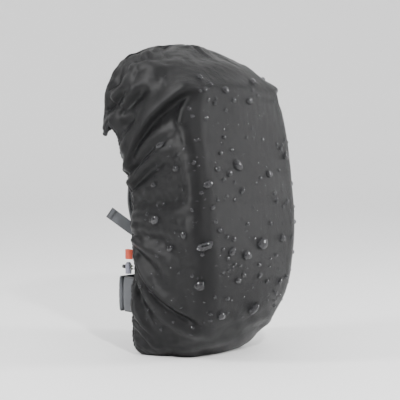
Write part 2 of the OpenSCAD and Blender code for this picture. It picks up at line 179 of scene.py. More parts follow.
def mesh_piece(name, points, faces, material, uvs=None):
    """A smooth-shaded mesh object."""
    mesh = bpy.data.meshes.new(name)
    mesh.from_pydata([tuple(p) for p in np.asarray(points, float)], [], faces)
    mesh.validate()
    mesh.polygons.foreach_set("use_smooth", [True] * len(mesh.polygons))
    if uvs is not None:
        layer = mesh.uv_layers.new(name="UVMap")
        index = np.zeros(len(mesh.loops), int)
        mesh.loops.foreach_get("vertex_index", index)
        layer.data.foreach_set("uv", np.asarray(uvs, np.float32)[index].ravel())
    mesh.update()
    o = bpy.data.objects.new(name, mesh)
    bpy.context.scene.collection.objects.link(o)
    mesh.materials.append(material)
    return o


def grid_faces(rows, cols, wrap=False):
    """Quads of a grid whose points run row by row."""
    last = cols if wrap else cols - 1
    return [(r * cols + c, r * cols + (c + 1) % cols, (r + 1) * cols + (c + 1) % cols, (r + 1) * cols + c)
            for r in range(rows - 1) for c in range(last)]


def end_faces(rows, cols):
    """Faces that close the first and last row of a grid that wraps round."""
    return [tuple(range(cols - 1, -1, -1)), tuple((rows - 1) * cols + c for c in range(cols))]


def round_ends(count, steps):
    """From 0 at both ends of a row of points up to 1, as a quarter circle over some steps."""
    ends = np.clip(np.minimum(np.arange(count), count - 1 - np.arange(count)) / steps, 0, 1)
    return np.sqrt(1 - (1 - ends) ** 2)


def sweep(name, path, ups, section, material, closed=False, scale=None):
    """A section, an array of (across, up) points, carried along a path."""
    path = np.asarray(path, float)
    n = len(path)
    tangents = np.roll(path, -1, 0) - np.roll(path, 1, 0) if closed else np.gradient(path, axis=0)
    tangents /= np.linalg.norm(tangents, axis=1, keepdims=True)
    ups = np.broadcast_to(np.asarray(ups, float), (n, 3))
    across = np.cross(tangents, ups)
    across /= np.linalg.norm(across, axis=1, keepdims=True)
    ups = np.cross(across, tangents)
    scale = np.ones((n, 2)) if scale is None else np.broadcast_to(np.asarray(scale, float), (n, 2))
    k = len(section)
    points = (path[:, None] + across[:, None] * (section[None, :, :1] * scale[:, None, :1])
              + ups[:, None] * (section[None, :, 1:] * scale[:, None, 1:])).reshape(-1, 3)
    length = np.concatenate([[0], np.cumsum(np.linalg.norm(np.diff(path, axis=0), axis=1))])
    around = section[None, :, 0] + section[None, :, 1]
    uvs = np.stack(np.broadcast_arrays(length[:, None], around), 2).reshape(-1, 2)
    faces = grid_faces(n, k, wrap=True)
    if closed:
        faces += [((n - 1) * k + c, (n - 1) * k + (c + 1) % k, (c + 1) % k, c) for c in range(k)]
    else:
        faces += end_faces(n, k)
    return mesh_piece(name, points, faces, material, uvs)


def oval(width, height, sides, power=2.0):
    """Closed section, more square as power rises."""
    a = np.arange(sides) * 2 * np.pi / sides
    c, s = np.cos(a), np.sin(a)
    return np.stack([np.sign(c) * np.abs(c) ** (2 / power) * width / 2,
                     np.sign(s) * np.abs(s) ** (2 / power) * height / 2], 1)


def ribbon(name, points, up, width, thick, material, steps=10, wave=0.0):
    """Webbing along a smooth path, its flat face towards up."""
    path = smooth_path(points, steps)
    if wave:
        path = path + np.asarray(up) * (wave * np.sin(np.arange(len(path)) * 0.9))[:, None]
    return sweep(name, path, up, oval(width, thick, 20, 6), material)


def finish_piece(o, body, slot, *nodes):
    """Rides o on its body and hides the CAD nodes it stands for; its slot is not used."""
    if body:
        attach(o, body)
    if nodes:
        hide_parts(*nodes)
    return o


def webbing(name, body, line, up, width, thick, *nodes, wave=0.0):
    """Webbing that rides on a body, in place of its CAD nodes."""
    finish_piece(ribbon(name, line, up, width, thick, WEBBING, wave=wave), body, "webbing", *nodes)


# ---- materials ----

def new_material(name, color, roughness, **sockets):
    """A Principled material; sockets are constant values on the shader itself."""
    m = bpy.data.materials.new(name)
    m.use_nodes = True
    shader = m.node_tree.nodes["Principled BSDF"]
    shader.inputs["Base Color"].default_value = (*color, 1)
    shader.inputs["Roughness"].default_value = roughness
    for key, value in sockets.items():
        shader.inputs[key.replace("_", " ")].default_value = value
    return m, m.node_tree, shader


def add(tree, kind, **values):
    node = tree.nodes.new(kind)
    for key, value in values.items():
        if key in node.inputs:
            node.inputs[key].default_value = value
        else:
            setattr(node, key, value)
    return node


def ramp_color(tree, shader, factor, *stops):
    """Base colour from a factor; a stop is position, colour and how bright it is."""
    ramp = add(tree, "ShaderNodeValToRGB")
    for element, (position, color, bright) in zip(ramp.color_ramp.elements, stops):
        element.position = position
        element.color = (*[min(1, c * bright) for c in color], 1)
    tree.links.new(factor, ramp.inputs["Fac"])
    tree.links.new(ramp.outputs["Color"], shader.inputs["Base Color"])


def mottled(tree, shader, color, amount, scale, coords, rough=None):
    """Uneven colour, and unevenly worn gloss where rough is (low, high)."""
    noise = add(tree, "ShaderNodeTexNoise", Scale=scale, Detail=4.0)
    tree.links.new(coords, noise.inputs["Vector"])
    ramp_color(tree, shader, noise.outputs["Fac"], (0.3, color, 1 - amount), (0.7, color, 1 + amount))
    if rough:
        spread = add(tree, "ShaderNodeMapRange")
        spread.inputs["To Min"].default_value, spread.inputs["To Max"].default_value = rough
        tree.links.new(noise.outputs["Fac"], spread.inputs["Value"])
        tree.links.new(spread.outputs["Result"], shader.inputs["Roughness"])


def weave_height(tree, coords, pitch, axes):
    """Height of a plain weave: the product of two sets of threads."""
    split = add(tree, "ShaderNodeSeparateXYZ")
    tree.links.new(coords, split.inputs["Vector"])
    threads = []
    for axis in axes:
        turn = add(tree, "ShaderNodeMath", operation="MULTIPLY")
        turn.inputs[1].default_value = math.pi / pitch
        tree.links.new(split.outputs[axis], turn.inputs[0])
        sine = add(tree, "ShaderNodeMath", operation="SINE")
        tree.links.new(turn.outputs[0], sine.inputs[0])
        threads.append(sine)
    both = add(tree, "ShaderNodeMath", operation="MULTIPLY")
    for k, sine in enumerate(threads):
        tree.links.new(sine.outputs[0], both.inputs[k])
    return both.outputs[0]


def bump(tree, shader, height, distance, strength=1.0, after=None):
    node = add(tree, "ShaderNodeBump", Strength=strength, Distance=distance)
    tree.links.new(height, node.inputs["Height"])
    if after:
        tree.links.new(after.outputs["Normal"], node.inputs["Normal"])
    tree.links.new(node.outputs["Normal"], shader.inputs["Normal"])
    return node


def cloth_material(name, color, roughness, pitch, crinkle=0.0004, sheen=0.15, uv=False, gloss=0.5):
    """Woven cloth: threads at pitch, fine crinkles and uneven colour."""
    m, tree, shader = new_material(name, color, roughness, Sheen_Weight=sheen, Sheen_Roughness=0.5,
                                   Specular_IOR_Level=gloss)
    coords = add(tree, "ShaderNodeTexCoord").outputs["UV" if uv else "Object"]
    mottled(tree, shader, color, 0.12, 14.0, coords, (roughness - 0.06, roughness + 0.08))
    weave = weave_height(tree, coords, pitch, ("X", "Y") if uv else ("X", "Z"))
    first = bump(tree, shader, weave, 0.00015, 0.6)
    creases = add(tree, "ShaderNodeTexNoise", Scale=70.0, Detail=5.0, Roughness=0.6)
    tree.links.new(coords, creases.inputs["Vector"])
    bump(tree, shader, creases.outputs["Fac"], crinkle, 0.5, after=first)
    return m


PLASTIC = {"uneven": (0.08, 60.0), "worn": 0.12, "grain": (2200.0, 0.0001, 0.4)}
METAL = {"uneven": (0.06, 90.0), "worn": 0.10, "grain": (1500.0, 0.00005, 0.5), "Metallic": 1.0}


def solid_material(name, color, roughness, uneven, worn, grain, **sockets):
    """Plastic or metal, with uneven colour, worn gloss and a fine grain."""
    m, tree, shader = new_material(name, color, roughness, **sockets)
    coords = add(tree, "ShaderNodeTexCoord").outputs["Object"]
    mottled(tree, shader, color, *uneven, coords, (roughness - 0.05, roughness + worn))
    scale, depth, strength = grain
    noise = add(tree, "ShaderNodeTexNoise", Scale=scale, Detail=2.0)
    tree.links.new(coords, noise.inputs["Vector"])
    bump(tree, shader, noise.outputs["Fac"], depth, strength)
    return m


def mesh_material(name, color):
    """Spacer mesh: small open cells, their hollows painted darker as shade."""
    m, tree, shader = new_material(name, color, 0.85, Sheen_Weight=0.3)
    coords = add(tree, "ShaderNodeTexCoord").outputs["Object"]
    cells = add(tree, "ShaderNodeTexVoronoi", Scale=330.0)
    tree.links.new(coords, cells.inputs["Vector"])
    # painted shade: each cell's hollow at 0.35 of the colour, the net between at full colour
    ramp_color(tree, shader, cells.outputs["Distance"], (0.15, color, 0.35), (0.5, color, 1))
    bump(tree, shader, cells.outputs["Distance"], 0.0006, 0.8)
    return m


def water_material():
    m, tree, shader = new_material("water", (1, 1, 1), 0.005, Transmission_Weight=0.93, IOR=1.4)
    coords = add(tree, "ShaderNodeTexCoord").outputs["Object"]
    # painted shade: the water is tinted grey so that the beads look dark under their highlights
    mottled(tree, shader, (0.28, 0.28, 0.30), 0.1, 50.0, coords)
    return m


COVER = cloth_material("cover_cloth", (0.0052, 0.0052, 0.0057), 0.36, 0.0006, 0.0003, 0.0, gloss=0.21)
HEM = cloth_material("hem_cloth", (0.008, 0.008, 0.009), 0.55, 0.0006, 0.0006, 0.0, gloss=0.3)
WEBBING = cloth_material("webbing", (0.062, 0.066, 0.074), 0.6, 0.0011, 0.0002, 0.15, uv=True)
STITCH = cloth_material("stitching", (0.035, 0.036, 0.04), 0.7, 0.0008, uv=True)
PACK_LIME = cloth_material("pack_lime", (0.28, 0.42, 0.015), 0.6, 0.0009, 0.0005, 0.25)
PACK_GREY = cloth_material("pack_grey", (0.10, 0.105, 0.115), 0.65, 0.0009, 0.0005, 0.25)
BELT = cloth_material("belt_cloth", (0.062, 0.066, 0.074), 0.58, 0.0009, 0.0004, 0.15)
BINDING = cloth_material("binding", (0.03, 0.031, 0.034), 0.65, 0.0008, uv=True)
ORANGE = cloth_material("orange_tape", (0.42, 0.045, 0.015), 0.55, 0.0009, 0.0002, 0.1)
MESH_FOAM = mesh_material("spacer_mesh", (0.042, 0.045, 0.052))
BUCKLE = solid_material("buckle_plastic", (0.016, 0.0165, 0.019), 0.38, **PLASTIC)
LOCK = solid_material("lock_plastic", (0.16, 0.16, 0.20), 0.42, **PLASTIC)
SHEET_PLASTIC = solid_material("frame_plastic", (0.75, 0.75, 0.72), 0.5, **PLASTIC)
CORD = cloth_material("elastic_cord", (0.012, 0.012, 0.014), 0.7, 0.0006)
STEEL = solid_material("steel", (0.56, 0.56, 0.58), 0.3, **METAL)
ALUMINIUM = solid_material("aluminium", (0.72, 0.73, 0.74), 0.35, **METAL)
WATER = water_material()


# ---- the cover's shape ----

def shape_at(z, inset=0.0):
    """Half width at the back and front, front bulge and back at a height."""
    share = np.clip((z - inset) / (COVER_H - 2 * inset), 0, 1)
    wb, wf, f = (spline(share, PROFILE[:, 0], PROFILE[:, k]) for k in (1, 2, 3))
    back = spline(share, PROFILE[:, 0], PROFILE[:, 4])
    return COVER_HALF_W * wb - inset, COVER_HALF_W * wf - inset, COVER_FRONT * f - inset, back - inset


COLUMNS = {"front": 40, "corner": 16, "side": 52, "rear": 26, "back_corner": 10, "back": 30}
HEM_COLUMN = COLUMNS["front"] + COLUMNS["corner"] + COLUMNS["side"]


def half_ring(z, inset=0.0, back=None, crown=0.007):
    """Left half of the outline at a height, from the middle of the front to the middle of the back."""
    wb, wf, f, b = shape_at(z, inset)
    b = b if back is None else back
    rf, rb = min(FRONT_R, wf * 0.8, (b + f) * 0.6), min(BACK_R, (b + f) * 0.3)
    start, end = rf - f, b - rb
    bend = min(max(SIDE_Y, start + 0.004), end - 0.003)
    hem = min(max(spline(z, *HEM_LINE.T), start + 0.002), end - 0.002)

    def steps(part, whole=False):
        return np.linspace(0, 1, COLUMNS[part], endpoint=whole)

    def side(y):
        bow = np.sin(np.clip((y - start) / (bend - start), 0, 1) * np.pi / 2)
        return np.stack([-(wf + (wb - wf) * bow), y], 1)

    x = -(wf - rf) * steps("front")
    front = np.stack([x, -f - crown * (1 - steps("front") ** 2)], 1)
    a = -np.pi / 2 - np.pi / 2 * steps("corner")
    corner = np.stack([-(wf - rf) + rf * np.cos(a), start + rf * np.sin(a)], 1)
    a = np.pi - np.pi / 2 * steps("back_corner")
    back_corner = np.stack([-(wb - rb) + rb * np.cos(a), end + rb * np.sin(a)], 1)
    s = steps("back", True)
    rear = np.stack([-(wb - rb) * (1 - s), b + crown * (1 - (1 - s) ** 2)], 1)
    return np.vstack([front, corner, side(start + (hem - start) * steps("side")),
                      side(hem + (end - hem) * steps("rear")), back_corner, rear])


def full_ring(z, inset=0.0, back=None, crown=0.007):
    """Whole outline at a height, once round from the middle of the back, by the wearer's left."""
    left = half_ring(z, inset, back, crown)[::-1]
    ring = np.vstack([left, left[-2:0:-1] * [-1, 1]])
    for _ in range(3):
        ring = (np.roll(ring, 1, 0) + 2 * ring + np.roll(ring, -1, 0)) / 4
    return np.column_stack([ring, np.full(len(ring), z)])


def fold(plane, kind, height, width, path, spread=0.8):
    """Height of one fold over points of a plane, which widens along its path and fades out at the end."""
    path = smooth_path(path, 8)
    low, high = path.min(0) - 5 * width, path.max(0) + 5 * width
    inside = np.all((plane > low) & (plane < high), axis=1)
    p = plane[inside]
    best, at, side = np.full(len(p), 1e9), np.zeros(len(p)), np.ones(len(p))
    for i, (a, b) in enumerate(zip(path[:-1], path[1:])):
        ab = b - a
        t = np.clip((p - a) @ ab / (ab @ ab), 0, 1)
        off = p - a - t[:, None] * ab
        d = np.hypot(off[:, 0], off[:, 1])
        closer = d < best
        best[closer], at[closer] = d[closer], (i + t[closer]) / (len(path) - 1)
        cross = ab[0] * off[:, 1] - ab[1] * off[:, 0]
        side[closer] = np.where(cross[closer] > 0, -1.0, 1.0)
    x = best * side / (width * (1 + spread * at))
    shape = {"ridge": np.exp(-x * x), "crease": -np.exp(-np.abs(x) ** 1.3),
             "step": np.tanh(2.5 * x) * np.exp(-(x / 2.6) ** 2)}[kind]
    fade = smoothstep(at, -0.05, 0.08) * (1 - smoothstep(at, 0.55, 1.0))
    result = np.zeros(len(plane))
    result[inside] = height * fade * shape
    return result


def side_relief(y, z, seed):
    """Folds and gathers over one side, in metres."""
    plane = np.stack([y, z], 1)
    total = np.zeros(len(y))
    for kind, height, width, path in SIDE_FOLDS:
        total += 1.6 * fold(plane, kind, height * 0.001, width * 0.001, np.array(path) * 0.001)
    draw = random.Random(seed)
    height_at = 0.025
    while height_at < 0.455:
        slope = np.interp(height_at, [0.05, 0.2, 0.29, 0.36, 0.45], [-0.9, -1.1, 0.05, 0.6, 1.1])
        hem = spline(height_at, *HEM_LINE.T)
        reach = draw.uniform(0.025, 0.08)
        rise = slope * reach + draw.uniform(-0.006, 0.006)
        path = [(hem + 0.002, height_at), (hem - reach * 0.5, height_at + rise * 0.45),
                (hem - reach, height_at + rise)]
        kind = draw.choice(["ridge", "crease"])
        total += fold(plane, kind, draw.uniform(0.0012, 0.0034), draw.uniform(0.0026, 0.0045), path, 1.6)
        height_at += draw.uniform(0.006, 0.012)
    return total


def grid_normals(p):
    du = np.roll(p, -1, 1) - np.roll(p, 1, 1)
    n = np.cross(du, np.gradient(p, axis=0))
    return n / np.maximum(np.linalg.norm(n, axis=2, keepdims=True), 1e-12)


def cover_grid():
    """Points of the cover, row by row, the hood's first row and the column of the left hem."""
    s = np.linspace(0, 1, 236)
    levels = 0.646 * (0.7 * s + 0.3 * (0.5 - 0.5 * np.cos(np.pi * s)))
    p = np.stack([full_ring(z) for z in levels])
    half = p.shape[1] // 2
    hem_left = half - HEM_COLUMN
    # the cloth turns in over the elastic below the hood
    hem = spline(levels, *HEM_LINE.T)[:, None]
    turn = smoothstep(p[..., 1], hem - 0.016, hem + 0.004) ** 2
    turn *= (1 - smoothstep(levels, 0.43, 0.475))[:, None]
    p[..., 0] -= np.sign(p[..., 0]) * 0.010 * turn
    # the hood's lower edge hangs in an arch behind the hem
    behind = np.minimum(np.arange(p.shape[1]), p.shape[1] - np.arange(p.shape[1]))
    row = int(np.argmin(np.abs(levels - HOOD_Z)))
    step = np.linalg.norm(np.diff(p[row], axis=0, append=p[row][:1]), axis=1)
    from_back = np.concatenate([[0], np.cumsum(step)])[:-1]
    from_back = np.minimum(from_back, from_back[-1] + step[-1] - from_back)
    past = np.maximum(from_back[hem_left] - from_back, 0)
    lift = spline(past, *HOOD_EDGE.T) * (behind <= hem_left)
    share = np.exp(-np.maximum(levels - HOOD_Z, 0) / 0.05) * (levels >= levels[row])
    p[..., 2] += lift[None] * share[:, None]
    # relief along the normals
    n = grid_normals(p)
    flat, normal = p.reshape(-1, 3), n.reshape(-1, 3)
    on_side = smoothstep(np.abs(normal[:, 0]), 0.25, 0.75)
    on_front = smoothstep(-normal[:, 1], 0.2, 0.8)
    left = flat[:, 0] < 0
    relief = np.zeros(len(flat))
    relief[left] = side_relief(flat[left, 1], flat[left, 2], 3)
    relief[~left] = side_relief(flat[~left, 1], flat[~left, 2], 11)
    relief *= on_side
    relief += 0.0012 * waves(flat, 0.16, 1) * (0.4 + 0.6 * on_front)
    relief += 0.0004 * waves(flat, 0.055, 2) * (1 - 0.75 * on_front)
    relief += 0.00035 * waves(flat, 0.02, 3) * (1 - 0.8 * on_front)
    low = 1 - smoothstep(flat[:, 2], 0.05, 0.13)
    relief += 0.0016 * waves(flat, 0.045, 4) * low * on_front
    # gathers above the hood's lower edge and round the head
    rear = smoothstep(normal[:, 1], 0.2, 0.8)
    above = np.maximum(flat[:, 2] - HOOD_Z, 0)
    gather = np.sin(flat[:, 0] / 0.0065 + 2.2 * waves(flat * [1, 0.2, 0.2], 0.05, 5))
    relief += 0.0020 * gather * np.exp(-above / 0.035) * rear
    relief += 0.004 * waves(flat * [1, 0.5, 0.35], 0.07, 6) * rear * smoothstep(above, 0, 0.04)
    top = smoothstep(flat[:, 2], 0.59, 0.635)
    gather = np.sin((flat[:, 2] * 0.6 + np.abs(flat[:, 0])) / 0.0055 + 2 * waves(flat, 0.09, 8))
    relief += 0.00154 * gather * top
    most = 0.009
    relief = np.where(relief > 0, most * np.tanh(relief / most), relief)
    p = (flat + normal * relief[:, None]).reshape(p.shape)
    return p, row, hem_left


def build_cover():
    """The rain cover as one sewn sheet, and the line round its opening."""
    p, hood_row, hem_left = cover_grid()
    cols = p.shape[1]
    hem_right = cols - hem_left
    # the base: from the lowest ring back to the hem under the pack
    cap = []
    for k in range(8, 0, -1):
        share = k / 8
        ring = p[0].copy()
        ring[:, 1] += (0.052 - ring[:, 1]) * share
        ring[:, 2] = 0.0012 + 0.004 * share ** 3 + 0.0006 * waves(ring, 0.03, 9) * np.sin(np.pi * share)
        cap.append(ring)
    top = []
    centre = p[-1].mean(0)
    for share in (0.82, 0.62, 0.42, 0.22, 0.05):
        ring = centre + (p[-1] - centre) * share
        ring[:, 2] = p[-1][:, 2] + 0.0035 * (1 - share ** 2) + 0.0012 * waves(ring, 0.04, 8) * share
        top.append(ring)
    low = len(cap)
    points = np.concatenate([np.stack(cap), p, np.stack(top)])
    rows_all = len(points)
    points[..., 2] = np.maximum(points[..., 2], 0.0006)
    faces = []
    for r in range(rows_all - 1):
        for c in range(cols):
            behind_hem = c < hem_left or c >= hem_right
            if behind_hem and r < low + hood_row:
                continue
            beside = (c + 1) % cols
            faces.append((r * cols + c, (r + 1) * cols + c, (r + 1) * cols + beside, r * cols + beside))
    faces.append(tuple((rows_all - 1) * cols + c for c in range(cols)))
    used = sorted({v for f in faces for v in f})
    index = {v: i for i, v in enumerate(used)}
    flat = points.reshape(-1, 3)
    cover = mesh_piece("rain_cover", flat[used], [tuple(index[v] for v in f) for f in faces], COVER)
    shell = cover.modifiers.new("cloth", "SOLIDIFY")
    shell.thickness = 0.0008
    shell.offset = -1
    # the casing follows the edge of the opening
    edge = np.concatenate([
        points[0, hem_left:hem_right + 1], points[1:low + hood_row, hem_right % cols],
        points[low + hood_row, hem_right:], points[low + hood_row, :hem_left + 1],
        points[low + hood_row - 1:0:-1, hem_left]])
    return cover, edge


def build_casing(edge):
    """Gathered casing with the elastic inside, round the whole opening."""
    path = resample(edge, 900, closed=True)
    for _ in range(12):
        path = (np.roll(path, 1, 0) + 2 * path + np.roll(path, -1, 0)) / 4
    middle = np.array([0, 0.03, 0.30])
    inward = middle - path
    inward[:, 1] = 0
    inward /= np.linalg.norm(inward, axis=1, keepdims=True)
    path = path + inward * 0.0028 + np.array([0, 0.0012, 0])
    path[:, 2] = np.maximum(path[:, 2], 0.0052)
    s = np.arange(len(path))
    ruffle = 1 + 0.12 * np.sin(s * 1.35 + 1.5 * waves(path, 0.05, 21)) + 0.08 * waves(path, 0.02, 22)
    scale = np.stack([ruffle, ruffle], 1)
    return sweep("hem_casing", path, inward, oval(0.0086, 0.0086, 14), HEM, closed=True, scale=scale)


# ---- water ----

def bead_mesh(places):
    """All the beads as one mesh. A place is point, normal, width, stretch and tilt."""
    around, up = 18, 8
    verts, faces = [], []
    for point, normal, width, stretch, tilt in places:
        n = np.array(normal)
        side = np.cross([0, 0, 1.0], n)
        side /= np.linalg.norm(side)
        rise = np.cross(n, side)
        c, s = math.cos(math.radians(tilt)), math.sin(math.radians(tilt))
        u, v = side * c + rise * s, rise * c - side * s
        phase, r = rng.uniform(0, 6), width * 0.6
        base = len(verts)
        for k in range(up):
            angle = -0.55 + (math.pi / 2 + 0.55) * k / up
            for i in range(around):
                a = 2 * math.pi * i / around
                wobble = 1 + 0.05 * math.sin(2 * a + phase) + 0.04 * math.sin(3 * a + 2 * phase)
                ring = r * math.cos(angle) * wobble
                lift = r * 0.62 * (math.sin(angle) + 0.42)
                verts.append(np.array(point) + u * ring * math.cos(a) * stretch ** 0.5
                             + v * ring * math.sin(a) / stretch ** 0.5 + n * lift)
        verts.append(np.array(point) + n * r * 0.62 * 1.42)
        verts.append(np.array(point) - n * r * 0.062)
        faces += [tuple(base + v for v in face) for face in grid_faces(up, around, wrap=True)]
        for i in range(around):
            j = (i + 1) % around
            faces.append((base + (up - 1) * around + i, base + (up - 1) * around + j, base + up * around))
            faces.append((base + j, base + i, base + up * around + 1))
    return mesh_piece("water_beads", verts, faces, WATER)


def water_on(cover):
    """Large beads where the lists place them, and many small seeded ones."""
    mesh = cover.data
    tree = BVHTree.FromPolygons([v.co for v in mesh.vertices], [p.vertices for p in mesh.polygons])
    places = []

    def drop(origin, direction, width, stretch, tilt):
        point, normal, _, _ = tree.ray_cast(Vector(origin), Vector(direction))
        if point is None:
            return
        if normal.dot(Vector(direction)) > 0:
            normal = -normal
        if abs(normal.z) > 0.85 or point.y * HOOD_WAY[1] + point.z * HOOD_WAY[2] > HOOD_START - 0.005:
            return
        for other, _, w, _, _ in places:
            if (Vector(other) - point).length < (w + width) * 0.6:
                return
        places.append((point, normal, width, stretch, tilt))

    diagonal = math.sqrt(0.5)
    for x, z, width, stretch, tilt in FRONT_BEADS:
        drop((x / 1000, -1, z / 1000), (0, 1, 0), width / 1000, stretch, tilt)
    for y, z, width, stretch, tilt in SIDE_BEADS:
        drop((-1, y / 1000, z / 1000), (1, 0, 0), width / 1000, stretch, tilt)
    for r, z, width, stretch, tilt in CORNER_BEADS:
        origin = (diagonal * (r / 1000 - 1), -diagonal * (r / 1000 + 1), z / 1000)
        drop(origin, (diagonal, diagonal, 0), width / 1000, stretch, tilt)
    for _ in range(300):
        width = 0.0022 + 0.0064 * rng.random() ** 2.0
        drop((rng.uniform(-0.15, 0.15), -1, rng.uniform(0.08, 0.585)), (0, 1, 0), width, rng.uniform(1, 1.4),
             rng.uniform(-60, 60))
    for side in (-1, 1):
        for _ in range(75):
            width = 0.0022 + 0.0050 * rng.random() ** 2
            origin = (side, rng.uniform(-0.14, 0.02), rng.uniform(0.06, 0.46))
            drop(origin, (-side, 0, 0), width, rng.uniform(1, 1.5), rng.uniform(-60, 60))
    return bead_mesh(places)


def dress_cover():
    cover, edge = build_cover()
    casing = build_casing(edge)
    beads = water_on(cover)
    for piece in (cover, casing, beads):
        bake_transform(piece)
    finish_piece(cover, None, "cover_cloth", "cover_front_panel", "cover_gusset_left", "cover_gusset_right",
                 "cover_base_panel", "cover_top_panel", "cover_hood")
    finish_piece(casing, None, "hem_cloth", "cover_hem", "hood_hem", "hem_elastic")


# ---- the pack inside the cover ----

def build_pack_body():
    """The pack's own cloth: one lofted shell with a sewn-on base and lid."""
    levels = np.concatenate([np.linspace(0.0115, 0.560, 60), np.linspace(0.566, 0.636, 16)])
    base_seam, lid_seam = 0.090, 0.572
    rings = []
    for z in levels:
        back = 0.0435 + (0.088 - 0.0435) * float(smoothstep(z, 0.560, 0.580))
        back = min(back, float(shape_at(z, PACK_INSET)[3]))
        rings.append(full_ring(z, PACK_INSET, back, 0.001))
    p = np.stack(rings)
    n = grid_normals(p)
    flat = p.reshape(-1, 3)
    uneven = 0.0009 * waves(flat, 0.06, 41) + 0.0006 * waves(flat, 0.02, 42)
    p = p + n * uneven.reshape(p.shape[:2])[..., None]
    seams = np.exp(-((levels - base_seam) / 0.0022) ** 2) + np.exp(-((levels - lid_seam) / 0.003) ** 2)
    p -= n * 0.0022 * seams[:, None, None]
    rows, cols, _ = p.shape
    faces = grid_faces(rows, cols, wrap=True)
    faces += [tuple(range(cols)), tuple(rows * cols - 1 - c for c in range(cols))]
    body = mesh_piece("pack_body", p.reshape(-1, 3), faces, PACK_LIME)
    body.data.materials.append(PACK_GREY)
    for face in body.data.polygons:
        z = face.center.z
        face.material_index = 1 if z < base_seam or z > lid_seam else 0
    finish_piece(body, "pack", "pack_lime", "pack_front_panel", "pack_gusset_left", "pack_gusset_right",
                 "pack_base_panel", "pack_back_panel", "pack_lid")


def rounded_rect(x0, x1, z0, z1, r, per_side=26):
    """Closed outline with rounded corners, evenly spaced points."""
    corners = [(x1 - r, z1 - r, 0), (x0 + r, z1 - r, 90), (x0 + r, z0 + r, 180), (x1 - r, z0 + r, 270)]
    path = []
    for x, z, start in corners:
        for k in range(7):
            a = math.radians(start + 90 * k / 6)
            path.append((x + r * math.cos(a), 0, z + r * math.sin(a)))
    return resample(np.array(path), per_side * 4, closed=True)


def pad(name, outline, y0, y1, material, grooves=(), crown=0.002, seed=1, edge_w=0.010):
    """A cushion lying on the plane y0: closed, crowned, with sewn channels along the grooves."""
    outline = np.asarray(outline)
    middle = outline.mean(0)
    thick = y1 - y0
    rings = []
    shares = np.linspace(0, 1, 23)[:-1]
    reach = np.linalg.norm(outline - middle, axis=1, keepdims=True)
    for side, steps in ((1, shares), (-1, shares[::-1])):
        for t in steps:
            q = middle + (outline - middle) * (1 - t)
            inside = reach[:, 0] * t
            round_off = np.sqrt(np.clip(1 - (1 - np.clip(inside / edge_w, 0, 1)) ** 2, 0, 1))
            top = y0 + thick * (0.55 + 0.45 * round_off) - 0.0006 + crown * (t * (2 - t) - 1)
            low = y0 + thick * 0.45 * (1 - round_off)
            if side < 0:
                q[:, 1] = low
            else:
                deep = np.zeros(len(q))
                for path in grooves:
                    plane = q[:, [0, 2]]
                    deep += np.abs(fold(plane, "crease", thick * 0.32, 0.0042, np.array(path) * 0.001, 0.0))
                deep = np.minimum(deep, thick * 0.32)
                q[:, 1] = top - deep + 0.0006 * waves(q, 0.03, seed) * min(1, t * 4)
            rings.append(q)
    # the first half runs from the rim to the middle on top, the second back out underneath
    points = np.stack(rings[:len(shares)][::-1] + rings[len(shares):][::-1])
    rows, cols, _ = points.shape
    faces = grid_faces(rows, cols, wrap=True) + end_faces(rows, cols)
    return mesh_piece(name, points.reshape(-1, 3), faces, material)


def piping(name, outline, y, r, inset=0.0):
    """Binding sewn round a pad's edge."""
    middle = outline.mean(0)
    path = middle + (outline - middle) * (1 - inset)
    path[:, 1] = y
    o = sweep(name, path, (0, 1, 0), oval(2 * r, 2 * r, 10), BINDING, closed=True)
    finish_piece(o, "pack", "pack_grey")


def back_cushion(side, name):
    """One padded panel of the back, with its sewn channels and binding."""
    low, high = sorted((side * 0.084, side * 0.010))
    outline = rounded_rect(low, high, 0.182, 0.448, 0.016, 40)
    mid = side * 47
    grooves = [[(mid - 37, z), (mid + 37, z + 12 * side)] for z in (240, 300, 360, 410)]
    o = pad("back_cushion_" + name, outline, 0.048, 0.062, MESH_FOAM, grooves, 0.003, 5 + side)
    finish_piece(o, "pack", "mesh_foam", "back_pad_" + name)
    piping("back_cushion_binding_" + name, outline, 0.0525, 0.0018, 0.006)


def lime_edge(side, name):
    """The lime roll along one side of the back."""
    count = 60
    path = [(side * 0.130, 0.055, z) for z in np.linspace(0.166, 0.490, count)]
    scale = (0.35 + 0.65 * round_ends(count, 2.5))[:, None] * np.ones((1, 2))
    scale = scale * (1 + 0.03 * np.sin(np.arange(count) * 0.9))[:, None]
    rim = sweep("lime_edge_" + name, path, (0, 1, 0), oval(0.0098, 0.0136, 18, 2.6), PACK_LIME, scale=scale)
    finish_piece(rim, "pack", "pack_lime", *(["edge_rim"] if side < 0 else []))


def build_back():
    outline = rounded_rect(-0.131, 0.131, 0.017, 0.570, 0.020, 50)
    skin = pad("back_skin_mesh", outline, 0.0445, 0.0478, MESH_FOAM, crown=0.0, seed=3, edge_w=0.004)
    finish_piece(skin, "pack", "mesh_foam", "back_skin")
    piping("back_binding", outline, 0.0462, 0.0021)
    for side, name in SIDES:
        back_cushion(side, name)
        lime_edge(side, name)
    outline = rounded_rect(-0.0695, 0.0695, 0.070, 0.176, 0.024, 34)
    grooves = [[(-35, 66), (-35, 180)], [(0, 66), (0, 180)], [(35, 66), (35, 180)]]
    o = pad("lumbar_cushion", outline, 0.048, 0.068, MESH_FOAM, grooves, 0.004, 9)
    finish_piece(o, "pack", "mesh_foam", "lumbar_pad")
    piping("lumbar_binding", outline, 0.0545, 0.002, 0.006)


# A shoulder strap's middle seen from the side: (y, z) in mm
STRAP_PATH = [(56, 515), (57, 495), (68, 466), (93, 438), (109, 412), (110, 370), (110, 320), (100, 286),
              (86, 258)]


def strap_point(side, across, y, z):
    """A point of a shoulder strap, in metres: straps splay 5 degrees about z = 528 mm."""
    a = math.radians(5)
    dx, dz = across, z - 528
    x = -58 + dx * math.cos(a) + dz * math.sin(a)
    return (-side * x / 1000, y / 1000, (528 - dx * math.sin(a) + dz * math.cos(a)) / 1000)


